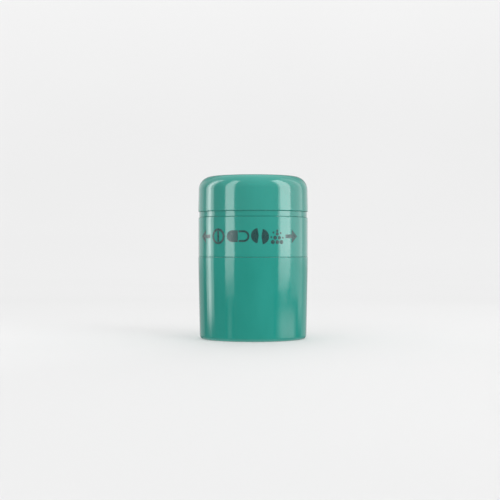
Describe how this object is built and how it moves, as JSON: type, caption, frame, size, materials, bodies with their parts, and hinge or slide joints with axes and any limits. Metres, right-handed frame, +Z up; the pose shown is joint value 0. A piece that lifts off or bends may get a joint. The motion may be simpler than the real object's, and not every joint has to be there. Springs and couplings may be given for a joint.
{
  "type": "pill crusher",
  "caption": "Hand-twist pill crusher: a cylinder with a screw-down crusher in its base and a divided tablet store under a push-on lid.",
  "frame": {"origin": "centre of the base's standing ring, on the plane that the part rests on", "axes": "+Z up along the common axis of every turned piece and of the screw thread; the printed front faces -Y"},
  "size_m": [0.046, 0.046, 0.068],
  "materials": {
    "green_plastic": "opaque teal-green injection-moulded polypropylene, glossy, with fine handling scratches",
    "natural_plastic": "uncoloured off-white hard plastic, semi-gloss",
    "hard_plastic": "uncoloured hard plastic with moulded ridges",
    "silicone": "soft translucent silicone, matt",
    "screw_steel": "plain bright steel",
    "liner_foam": "closed-cell white liner disc, matt"
  },
  "bodies": {
    "base": {"base_shell": "green_plastic", "crush_cup": "natural_plastic", "anvil_plate": "hard_plastic"},
    "seal": {"ram_seal": "silicone"},
    "crusher": {"screw_ram": "natural_plastic", "crushing_head": "hard_plastic", "head_screw": "screw_steel", "crusher_sleeve": "green_plastic", "compartment_tray": "green_plastic"},
    "lid": {"lid_shell": "green_plastic", "lid_liner": "liner_foam"}
  },
  "joints": [
    {"name": "crusher_travel", "type": "slide", "parent": "base", "child": "seal", "axis": [0, 0, 1], "range_m": [0, 0.0275]},
    {"name": "crusher_twist", "type": "hinge", "parent": "seal", "child": "crusher", "pos_m": [0, 0, 0], "axis": [0, 0, 1], "range_deg": [0, 1980]},
    {"name": "lid_lift", "type": "slide", "parent": "crusher", "child": "lid", "axis": [0, 0, 1], "range_m": [0, 0.02]}
  ],
  "couplings": [
    {"joint": "crusher_travel", "follows": "crusher_twist", "m_per_rad": 0.00079577}
  ]
}
